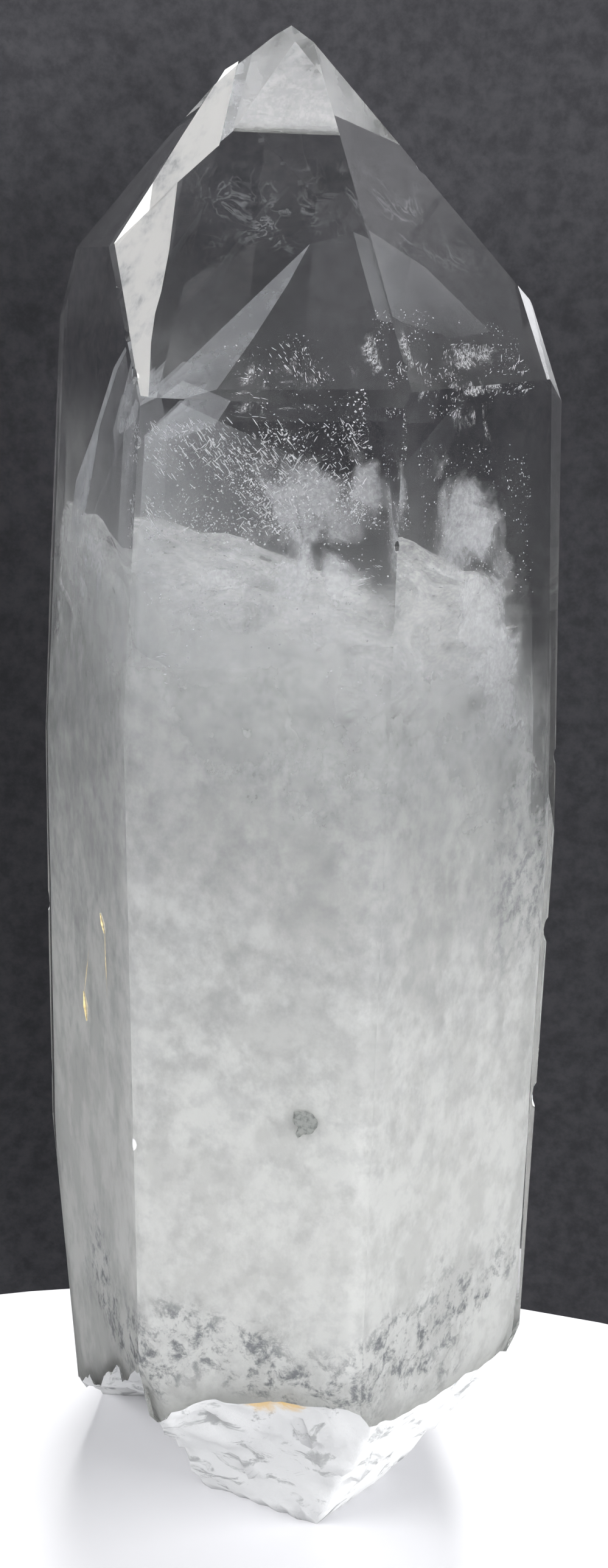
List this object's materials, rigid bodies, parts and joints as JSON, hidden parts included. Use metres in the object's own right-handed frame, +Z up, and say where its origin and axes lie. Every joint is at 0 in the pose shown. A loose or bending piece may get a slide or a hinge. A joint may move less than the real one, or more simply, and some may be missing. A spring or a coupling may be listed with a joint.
{
  "type": "phantom quartz crystal",
  "caption": "Clear to milky quartz point with ghost outlines inside, six-sided with an uneven pointed end, standing on its rough broken base.",
  "frame": {"origin": "on the resting face, straight under the crystal's long axis", "axes": "+Z up the long axis to the point, -Y towards the front face, +X to the right seen from the front"},
  "size_m": [0.0877, 0.0837, 0.2452],
  "materials": {
    "clear_quartz": "clear, glossy quartz faces, milky inside, with a rough white broken base"
  },
  "bodies": {
    "root": {"quartz_crystal": "clear_quartz"}
  },
  "joints": []
}
